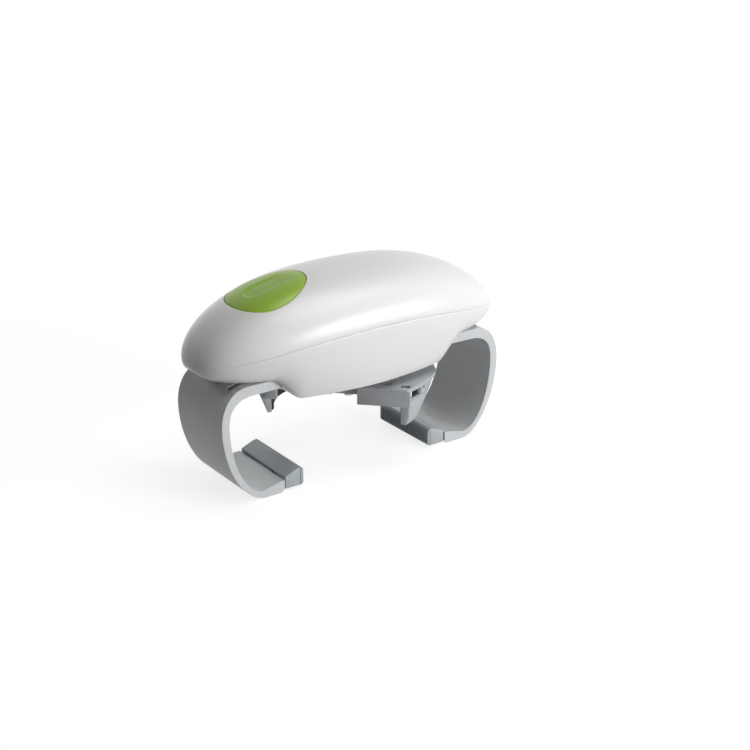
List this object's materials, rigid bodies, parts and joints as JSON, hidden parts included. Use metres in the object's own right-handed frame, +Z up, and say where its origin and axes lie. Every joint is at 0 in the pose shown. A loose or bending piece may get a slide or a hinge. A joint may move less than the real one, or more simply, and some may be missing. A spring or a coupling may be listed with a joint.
{
  "type": "electric jar opener",
  "caption": "Cordless jar opener: egg-shaped body with a green push button, two sliding arms that clamp the jar, and a turning jaw rotor under it that grips the lid.",
  "frame": {"origin": "on the lid spindle's axis, at the height of the feet of the two arms", "axes": "+X along the body, away from the button's end; +Z up, along the lid spindle; +Y completes a right-handed frame"},
  "size_m": [0.206, 0.094, 0.121],
  "materials": {
    "casing_white": "glossy injection-moulded white plastic",
    "button_green": "glossy yellow-green plastic",
    "arm_plastic": "satin light grey plastic",
    "jaw_plastic": "satin mid grey plastic",
    "pad_plastic": "matte bluish grey plastic",
    "pad_rubber": "matte grey rubber",
    "grip_rubber": "matte dark rubber",
    "pin_steel": "bright steel",
    "sheet_steel": "zinc-plated sheet steel",
    "brass": "turned brass",
    "gear_plastic": "natural acetal plastic",
    "inner_plastic": "matte dark grey plastic",
    "cell_skin": "plain dark cell sleeve",
    "board": "green circuit board",
    "switch_black": "matte black plastic",
    "wire_red": "red wire insulation"
  },
  "bodies": {
    "body": {"lower_casing": "casing_white", "upper_casing": "casing_white", "casing_screws": "pin_steel", "battery_door": "casing_white", "battery_cells": "cell_skin", "battery_contacts": "sheet_steel", "chassis_plate": "inner_plastic", "chassis_screws": "pin_steel", "gear_tray": "inner_plastic", "gearbox_cover": "inner_plastic", "gearbox_screws": "pin_steel", "ring_gear": "gear_plastic", "shaft_bush": "brass", "rotor_bush": "brass", "gear_axles": "pin_steel", "motor": "sheet_steel", "motor_bracket": "sheet_steel", "switch_board": "board", "micro_switch": "switch_black", "supply_wires": "wire_red", "return_wire": "switch_black", "clutch_spring": "sheet_steel", "button_spring": "pin_steel"},
    "push_button": {"button": "button_green"},
    "arm_left": {"left_arm": "arm_plastic"},
    "arm_right": {"right_arm": "arm_plastic"},
    "arm_gear": {"arm_pinion": "inner_plastic"},
    "pad_left": {"left_pad_carrier": "pad_plastic", "left_pad_rubber": "pad_rubber", "left_pad_pin": "pin_steel"},
    "pad_right": {"right_pad_carrier": "pad_plastic", "right_pad_rubber": "pad_rubber", "right_pad_pin": "pin_steel"},
    "drive": {"drive_shaft": "pin_steel", "planet_carrier": "gear_plastic", "planet_pins": "pin_steel", "jaw_pinion": "sheet_steel", "pinion_screw": "pin_steel"},
    "planet_a": {"planet_gear_1": "gear_plastic"},
    "planet_b": {"planet_gear_2": "gear_plastic"},
    "planet_c": {"planet_gear_3": "gear_plastic"},
    "sun": {"sun_gear": "gear_plastic"},
    "gear_b": {"compound_gear_b": "gear_plastic"},
    "gear_a": {"compound_gear_a": "gear_plastic"},
    "motor_rotor": {"motor_pinion": "brass"},
    "rotor": {"rotor_plate": "jaw_plastic", "rotor_clip": "sheet_steel", "jaw_screws": "pin_steel"},
    "jaw_left": {"left_jaw": "jaw_plastic", "left_jaw_grip": "grip_rubber"},
    "jaw_right": {"right_jaw": "jaw_plastic", "right_jaw_grip": "grip_rubber"}
  },
  "joints": [
    {"name": "button_press", "type": "slide", "parent": "body", "child": "push_button", "axis": [0, 0, -1], "range_m": [0, 0.0015], "stiffness_N_per_m": 1500, "deforming": ["button_spring"]},
    {"name": "left_arm_slide", "type": "slide", "parent": "body", "child": "arm_left", "axis": [1, 0, 0], "range_m": [-0.01, 0.021]},
    {"name": "right_arm_slide", "type": "slide", "parent": "body", "child": "arm_right", "axis": [-1, 0, 0], "range_m": [-0.01, 0.021]},
    {"name": "arm_pinion_spin", "type": "hinge", "parent": "body", "child": "arm_gear", "pos_m": [0, 0, 0.0674], "axis": [0, 0, 1], "range_deg": [-64, 134]},
    {"name": "left_pad_pivot", "type": "hinge", "parent": "arm_left", "child": "pad_left", "pos_m": [-0.055, 0, 0.0049], "axis": [0, 1, 0], "range_deg": [-12, 12]},
    {"name": "right_pad_pivot", "type": "hinge", "parent": "arm_right", "child": "pad_right", "pos_m": [0.055, 0, 0.0049], "axis": [0, -1, 0], "range_deg": [-12, 12]},
    {"name": "lid_drive_spin", "type": "hinge", "parent": "body", "child": "drive", "pos_m": [0, 0, 0.06], "axis": [0, 0, 1], "continuous": true},
    {"name": "sun_spin", "type": "hinge", "parent": "body", "child": "sun", "pos_m": [0, 0, 0.085], "axis": [0, 0, 1], "continuous": true},
    {"name": "gear_b_spin", "type": "hinge", "parent": "body", "child": "gear_b", "pos_m": [-0.0216, 0, 0.095], "axis": [0, 0, 1], "continuous": true},
    {"name": "gear_a_spin", "type": "hinge", "parent": "body", "child": "gear_a", "pos_m": [-0.036, 0, 0.1], "axis": [0, 0, 1], "continuous": true},
    {"name": "motor_spin", "type": "hinge", "parent": "body", "child": "motor_rotor", "pos_m": [-0.0485, 0, 0.098], "axis": [0, 0, 1], "continuous": true},
    {"name": "rotor_turn", "type": "hinge", "parent": "drive", "child": "rotor", "pos_m": [0, 0, 0.055], "axis": [0, 0, 1], "range_deg": [-132, 29]},
    {"name": "left_jaw_slide", "type": "slide", "parent": "rotor", "child": "jaw_left", "axis": [0.7071, -0.7071, 0], "range_m": [-0.005, 0.023]},
    {"name": "right_jaw_slide", "type": "slide", "parent": "rotor", "child": "jaw_right", "axis": [-0.7071, 0.7071, 0], "range_m": [-0.005, 0.023]},
    {"name": "planet_a_spin", "type": "hinge", "parent": "drive", "child": "planet_a", "pos_m": [0.0126, 0, 0.0826], "axis": [0, 0, 1], "continuous": true},
    {"name": "planet_b_spin", "type": "hinge", "parent": "drive", "child": "planet_b", "pos_m": [-0.0063, 0.01091, 0.0826], "axis": [0, 0, 1], "continuous": true},
    {"name": "planet_c_spin", "type": "hinge", "parent": "drive", "child": "planet_c", "pos_m": [-0.0063, -0.01091, 0.0826], "axis": [0, 0, 1], "continuous": true}
  ],
  "couplings": [
    {"joint": "right_arm_slide", "follows": "left_arm_slide", "ratio": 1},
    {"joint": "arm_pinion_spin", "follows": "left_arm_slide", "rad_per_m": 111.11},
    {"joint": "planet_a_spin", "follows": "lid_drive_spin", "ratio": -2.5},
    {"joint": "planet_b_spin", "follows": "lid_drive_spin", "ratio": -2.5},
    {"joint": "planet_c_spin", "follows": "lid_drive_spin", "ratio": -2.5},
    {"joint": "sun_spin", "follows": "lid_drive_spin", "ratio": 6},
    {"joint": "gear_b_spin", "follows": "lid_drive_spin", "ratio": -21},
    {"joint": "gear_a_spin", "follows": "lid_drive_spin", "ratio": 63},
    {"joint": "motor_spin", "follows": "lid_drive_spin", "ratio": -252},
    {"joint": "right_jaw_slide", "follows": "left_jaw_slide", "ratio": 1},
    {"joint": "rotor_turn", "follows": "left_jaw_slide", "rad_per_m": -100}
  ]
}
